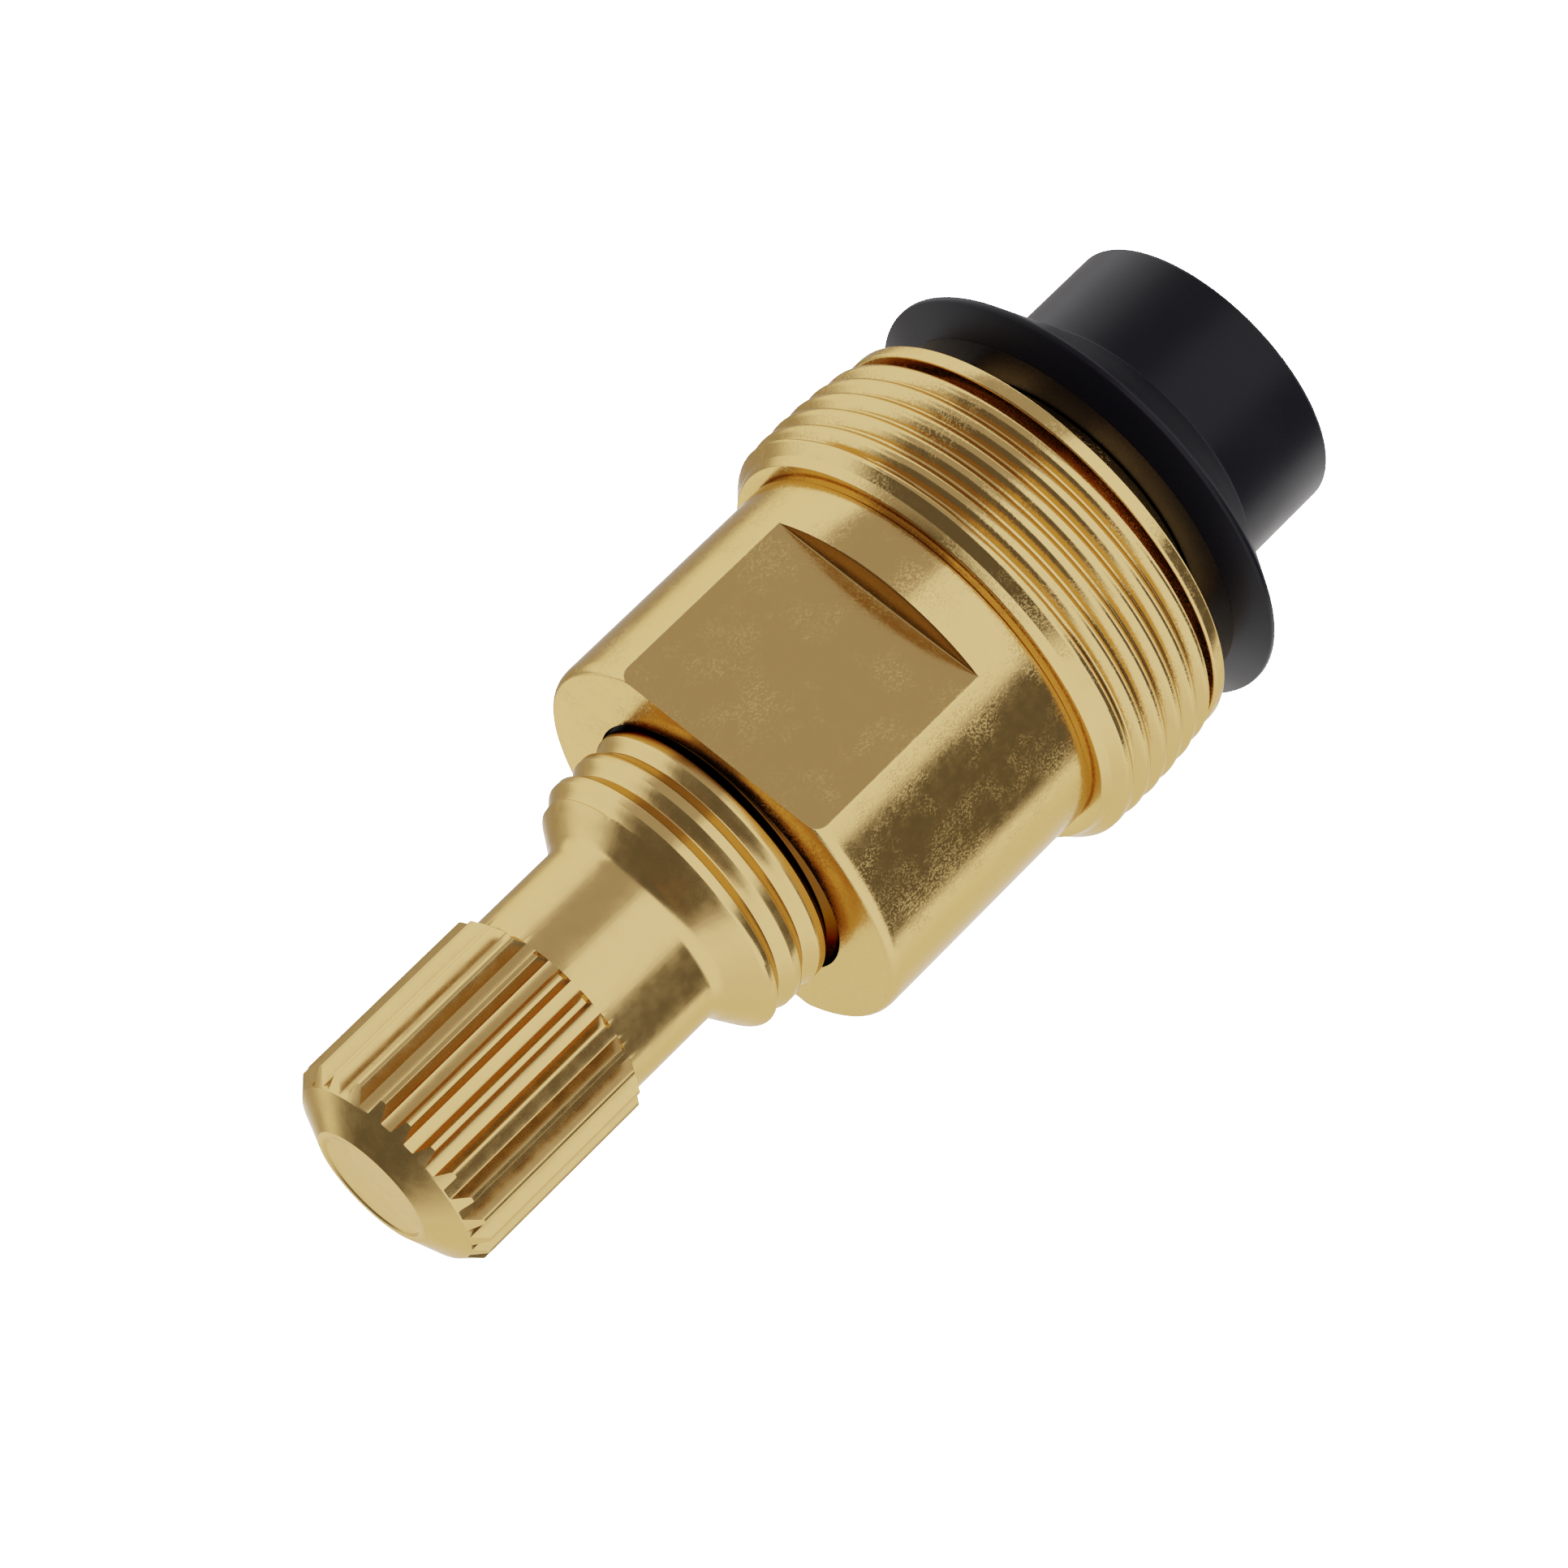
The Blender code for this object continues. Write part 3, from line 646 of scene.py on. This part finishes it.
BRASS_DEEP = (0.480, 0.294, 0.102, 1.0)
BRASS_LIGHT = (0.520, 0.322, 0.118, 1.0)
BRASS_EDGE = (0.80, 0.69, 0.52, 1.0)
# Painted shade: a dark brown that stands in for the shade inside the bonnet's mouth, the height over which
# it fades in, and a height below every part for brass with no painted shade
SHADE_BROWN = (0.085, 0.032, 0.005, 1.0)
SHADE_BLEND = 0.15
NO_PAINTED_SHADE = -1.0
PIT_METRES = 0.00001
RUBBER_DEEP = (0.0024, 0.0020, 0.0034, 1.0)
RUBBER_LIGHT = (0.0032, 0.0028, 0.0044, 1.0)
RUBBER_GRAIN_METRES = 0.00002
# Painted shade: dark colours for the nut's thread inside the bonnet, in place of its shade
MOUTH_SHADE_DEEP = (0.006, 0.003, 0.001, 1.0)
MOUTH_SHADE_LIGHT = (0.022, 0.010, 0.003, 1.0)
STEEL = (0.50, 0.50, 0.52, 1.0)


class Nodes:
    """Short names for adding and joining shader nodes."""

    def __init__(self, tree):
        self.tree = tree

    def add(self, kind, **values):
        node = self.tree.nodes.new(kind)
        for key, value in values.items():
            setattr(node, key, value)
        return node

    def link(self, source, target):
        self.tree.links.new(source, target)

    def math(self, operation, a, b=None):
        node = self.add("ShaderNodeMath", operation=operation)
        for socket, value in zip(node.inputs, (a, b)):
            if value is None:
                continue
            if isinstance(value, (int, float)):
                socket.default_value = value
            else:
                self.link(value, socket)
        return node.outputs[0]

    def smooth(self, value, low, high, start=0.0, end=1.0):
        node = self.add("ShaderNodeMapRange", interpolation_type="SMOOTHSTEP")
        self.link(value, node.inputs["Value"])
        node.inputs["From Min"].default_value = low
        node.inputs["From Max"].default_value = high
        node.inputs["To Min"].default_value = start
        node.inputs["To Max"].default_value = end
        return node.outputs["Result"]

    def noise(self, vector, scale, detail=2.0, roughness=0.5):
        node = self.add("ShaderNodeTexNoise")
        self.link(vector, node.inputs["Vector"])
        node.inputs["Scale"].default_value = scale
        node.inputs["Detail"].default_value = detail
        node.inputs["Roughness"].default_value = roughness
        return node.outputs["Fac"]

    def mix(self, share, a, b):
        node = self.add("ShaderNodeMix", data_type="RGBA")
        self.link(share, node.inputs[0])
        for socket, value in ((node.inputs[6], a), (node.inputs[7], b)):
            if isinstance(value, tuple):
                socket.default_value = value
            else:
                self.link(value, socket)
        return node.outputs[2]

    def bump(self, height, strength, metres, shader):
        """Joins a height to the shader's normal."""
        node = self.add("ShaderNodeBump")
        node.inputs["Strength"].default_value = strength
        node.inputs["Distance"].default_value = metres
        self.link(height, node.inputs["Height"])
        self.link(node.outputs["Normal"], shader.inputs["Normal"])


def new_material(name):
    """A material, its nodes, its shader and its object coordinates."""
    made = bpy.data.materials.new(name)
    made.use_nodes = True
    nodes = Nodes(made.node_tree)
    shader = made.node_tree.nodes["Principled BSDF"]
    return made, nodes, shader, nodes.add("ShaderNodeTexCoord").outputs["Object"]


def make_brass(name, pits, pit_scale, blotch_scale, gloss, shade_height):
    """Satin turned brass: pitted in patches, with a drift of gloss and tone, and a painted shade of dark
    brown below a height.
    """
    made, nodes, shader, place = new_material(name)
    fine = nodes.noise(place, pit_scale, 4.0, 0.65)
    broad = nodes.noise(place, 420.0, 4.0, 0.6)
    blotch = nodes.noise(place, blotch_scale, 3.0, 0.55)
    drift = nodes.noise(place, 140.0, 2.0, 0.5)
    low, high = gloss
    nodes.link(nodes.smooth(blotch, 0.30, 0.70, low, high), shader.inputs["Roughness"])
    tone = nodes.mix(drift, BRASS_DEEP, BRASS_LIGHT)
    split = nodes.add("ShaderNodeSeparateXYZ")
    nodes.link(place, split.inputs[0])
    # Painted shade: below the given height the colour and the edge tint turn dark brown
    shade_low = (shade_height - SHADE_BLEND) * MM
    shade_high = (shade_height + SHADE_BLEND) * MM
    shaded = nodes.smooth(split.outputs["Z"], shade_low, shade_high, 1.0, 0.0)
    nodes.link(nodes.mix(shaded, tone, SHADE_BROWN), shader.inputs["Base Color"])
    nodes.link(nodes.mix(shaded, BRASS_EDGE, SHADE_BROWN), shader.inputs["Specular Tint"])
    shader.inputs["Metallic"].default_value = 1.0
    patches = nodes.smooth(broad, 0.40, 0.66, 0.20, 1.0)
    height = nodes.math("MULTIPLY", nodes.smooth(fine, 0.48, 0.70), patches)
    nodes.bump(height, pits, PIT_METRES, shader)
    return made


def make_rubber():
    """Moulded black rubber with a soft sheen."""
    made, nodes, shader, place = new_material("moulded_rubber")
    fine = nodes.noise(place, 2600.0, 3.0, 0.6)
    broad = nodes.noise(place, 240.0, 2.0, 0.5)
    nodes.link(nodes.smooth(broad, 0.3, 0.7, 0.33, 0.39), shader.inputs["Roughness"])
    shader.inputs["Specular IOR Level"].default_value = 0.085
    nodes.link(nodes.mix(fine, RUBBER_DEEP, RUBBER_LIGHT), shader.inputs["Base Color"])
    nodes.bump(fine, 0.04, RUBBER_GRAIN_METRES, shader)
    return made


def make_mouth_shade():
    """Painted shade: a dark surface on the thread inside the bonnet, in place of the shade there."""
    made, nodes, shader, place = new_material("painted_mouth_shade")
    fine = nodes.noise(place, 1500.0, 3.0, 0.6)
    nodes.link(nodes.mix(fine, MOUTH_SHADE_DEEP, MOUTH_SHADE_LIGHT), shader.inputs["Base Color"])
    shader.inputs["Roughness"].default_value = 0.42
    shader.inputs["Metallic"].default_value = 0.8
    shader.inputs["Specular Tint"].default_value = SHADE_BROWN
    return made


def make_steel():
    """Plain spring steel."""
    made, nodes, shader, place = new_material("spring_wire")
    fine = nodes.noise(place, 2000.0, 3.0, 0.6)
    nodes.link(nodes.smooth(fine, 0.3, 0.7, 0.28, 0.42), shader.inputs["Roughness"])
    shader.inputs["Base Color"].default_value = STEEL
    shader.inputs["Metallic"].default_value = 1.0
    return made


# Studio

LIGHT = (2.28, 2.28, 2.34, 1.0)
SOFT = (1.80, 1.76, 1.72, 1.0)
MID = (0.66, 0.62, 0.61, 1.0)
DARK = (0.170, 0.172, 0.168, 1.0)
PAPER = (1.0, 1.0, 1.0, 1.0)
PAPER_WHITE = 17.0

# The floor, in metres
FLOOR_SIZE = 4.0
FLOOR_HEIGHT = -0.00002

# Windows as azimuths from the stem's front, elevations and soft edge, in degrees
SOFT_WINDOW = ((-200, -118), (-90, 90), 12)
SIDE_WINDOW = ((22, 76), (-90, 45), 3)
BACK_WINDOW = ((136, 170), (-60, 25), 6)
DARK_WINDOW = ((-106, -41), (-42, -5), 3)

# Round dark flags as azimuth, elevation, radius and soft edge, in degrees
FLAGS = ((165, 60, 24, 8), (45, 70, 37, 5), (180, -58, 24, 12))

# The photograph's camera: its place in millimetres and its axes, as parts towards the front,
# beside it and upwards, its lens and sensor in millimetres and its near limit in metres
CAMERA_PLACE = (228.997, 0.0, 114.18)
CAMERA_RIGHT = (0.25409, -0.69907, -0.66838)
CAMERA_UP = (0.24842, 0.71505, -0.65345)
CAMERA_BACK = (0.93473, 0.0, 0.35535)
CAMERA_LENS = 134.66
CAMERA_SENSOR = 36.0
CAMERA_CLIP = 0.01

TOWARD = np.array([math.cos(FRONT), math.sin(FRONT), 0.0])
BESIDE = np.array([-math.sin(FRONT), math.cos(FRONT), 0.0])
UPWARD = np.array([0.0, 0.0, 1.0])


def make_world():
    """Soft white studio all round, with dark flags that the brass reflects."""
    world = bpy.data.worlds.new("studio")
    bpy.context.scene.world = world
    world.use_nodes = True
    tree = world.node_tree
    tree.nodes.clear()
    nodes = Nodes(tree)
    direction = nodes.add("ShaderNodeTexCoord").outputs["Generated"]

    def along(axis):
        node = nodes.add("ShaderNodeVectorMath", operation="DOT_PRODUCT")
        nodes.link(direction, node.inputs[0])
        node.inputs[1].default_value = axis
        return node.outputs["Value"]

    def degrees(value):
        return nodes.math("MULTIPLY", value, 180.0 / math.pi)

    near = along(TOWARD)
    side = along(BESIDE)
    up = along(UPWARD)
    azimuth = degrees(nodes.math("ARCTAN2", side, near))
    elevation = degrees(nodes.math("ARCSINE", up))

    def window(azimuths, elevations, soft):
        """Share of a window in azimuth and elevation, with soft edges."""
        parts = []
        for value, (low, high) in ((azimuth, azimuths), (elevation, elevations)):
            parts.append(nodes.smooth(value, low - soft, low + soft))
            parts.append(nodes.smooth(value, high - soft, high + soft, 1.0, 0.0))
        share = parts[0]
        for part in parts[1:]:
            share = nodes.math("MULTIPLY", share, part)
        return share

    def flag(flag_azimuth, flag_elevation, radius, soft):
        """Share of a round flag about a direction."""
        a = math.radians(flag_azimuth)
        e = math.radians(flag_elevation)
        level = math.cos(a) * TOWARD + math.sin(a) * BESIDE
        axis = math.cos(e) * level + math.sin(e) * UPWARD
        distance = degrees(nodes.math("ARCCOSINE", along(axis)))
        return nodes.smooth(distance, radius - soft, radius + soft, 1.0, 0.0)

    colour = nodes.mix(window(*SOFT_WINDOW), LIGHT, SOFT)
    colour = nodes.mix(window(*SIDE_WINDOW), colour, MID)
    colour = nodes.mix(window(*BACK_WINDOW), colour, MID)
    colour = nodes.mix(window(*DARK_WINDOW), colour, DARK)
    for round_flag in FLAGS:
        colour = nodes.mix(flag(*round_flag), colour, DARK)

    studio = nodes.add("ShaderNodeBackground")
    nodes.link(colour, studio.inputs["Color"])
    backdrop = nodes.add("ShaderNodeBackground")
    backdrop.inputs["Color"].default_value = PAPER
    backdrop.inputs["Strength"].default_value = PAPER_WHITE
    choice = nodes.add("ShaderNodeMixShader")
    path = nodes.add("ShaderNodeLightPath")
    nodes.link(path.outputs["Is Camera Ray"], choice.inputs[0])
    nodes.link(studio.outputs[0], choice.inputs[1])
    nodes.link(backdrop.outputs[0], choice.inputs[2])
    output = nodes.add("ShaderNodeOutputWorld")
    nodes.link(choice.outputs[0], output.inputs["Surface"])


def make_floor():
    """Plain white floor that only the camera sees."""
    bpy.ops.mesh.primitive_plane_add(size=FLOOR_SIZE, location=(0.0, 0.0, FLOOR_HEIGHT))
    floor = bpy.context.object
    floor.name = "floor"
    made = bpy.data.materials.new("floor_white")
    made.use_nodes = True
    nodes = Nodes(made.node_tree)
    made.node_tree.nodes.clear()
    glow = nodes.add("ShaderNodeEmission")
    glow.inputs["Strength"].default_value = PAPER_WHITE
    output = nodes.add("ShaderNodeOutputMaterial")
    nodes.link(glow.outputs[0], output.inputs["Surface"])
    floor.data.materials.append(made)
    floor.visible_diffuse = False
    floor.visible_glossy = False
    floor.visible_transmission = False
    floor.visible_shadow = False


def make_camera():
    """The photograph's camera, as measured from the stem's outlines."""
    basis = np.array([TOWARD, BESIDE, UPWARD])
    right_axis = np.array(CAMERA_RIGHT) @ basis
    up_axis = np.array(CAMERA_UP) @ basis
    back_axis = np.array(CAMERA_BACK) @ basis
    place = np.array(CAMERA_PLACE) @ basis
    camera = bpy.data.objects.new("camera", bpy.data.cameras.new("camera"))
    bpy.context.scene.collection.objects.link(camera)
    camera.data.lens = CAMERA_LENS
    camera.data.sensor_width = CAMERA_SENSOR
    camera.data.clip_start = CAMERA_CLIP
    matrix = Matrix.Identity(4)
    for k in range(3):
        matrix[k][0] = right_axis[k]
        matrix[k][1] = up_axis[k]
        matrix[k][2] = back_axis[k]
        matrix[k][3] = place[k] * MM
    camera.matrix_world = matrix
    bpy.context.scene.camera = camera


def dress(piece, material, body, node):
    """Puts a piece on its body, in place of the CAD node."""
    piece.data.materials.append(material)
    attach(piece, body)
    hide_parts(node)


body_brass = make_brass(
    "satin_brass", pits=0.46, pit_scale=9000.0, blotch_scale=2600.0, gloss=(0.12, 0.19), shade_height=NO_PAINTED_SHADE,
)
# The stem's brass carries the painted shade below the shade line; the body brass has none
stem_brass = make_brass(
    "worn_brass_painted_shade", pits=0.10, pit_scale=1500.0, blotch_scale=1300.0, gloss=(0.19, 0.27), shade_height=SHADE_LINE,
)
rubber = make_rubber()
bonnet = make_bonnet()
dress(bonnet, body_brass, "bonnet_body", "bonnet")
# Painted shade: faces of the nut's thread inside the mouth take the dark second material
bonnet.data.materials.append(make_mouth_shade())
for face in bonnet.data.polygons:
    x, y, z = face.center / MM
    if NUT_BOTTOM < z < MOUTH_SHADE_TOP and math.hypot(x, y) < MOUTH_SHADE_RADIUS:
        face.material_index = 1
dress(make_spindle(), stem_brass, "spindle_body", "spindle")
dress(make_ring(), body_brass, "ring_body", "friction_ring")
dress(make_foot(), body_brass, "foot_body", "swivel_foot")
dress(make_hat(), rubber, "foot_body", "diaphragm")
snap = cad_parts["retaining_ring"]
snap.data.materials.clear()
snap.data.materials.append(make_steel())

make_world()
make_floor()
make_camera()
bpy.context.scene.view_settings.view_transform = "Filmic"
bpy.context.scene.view_settings.look = "None"
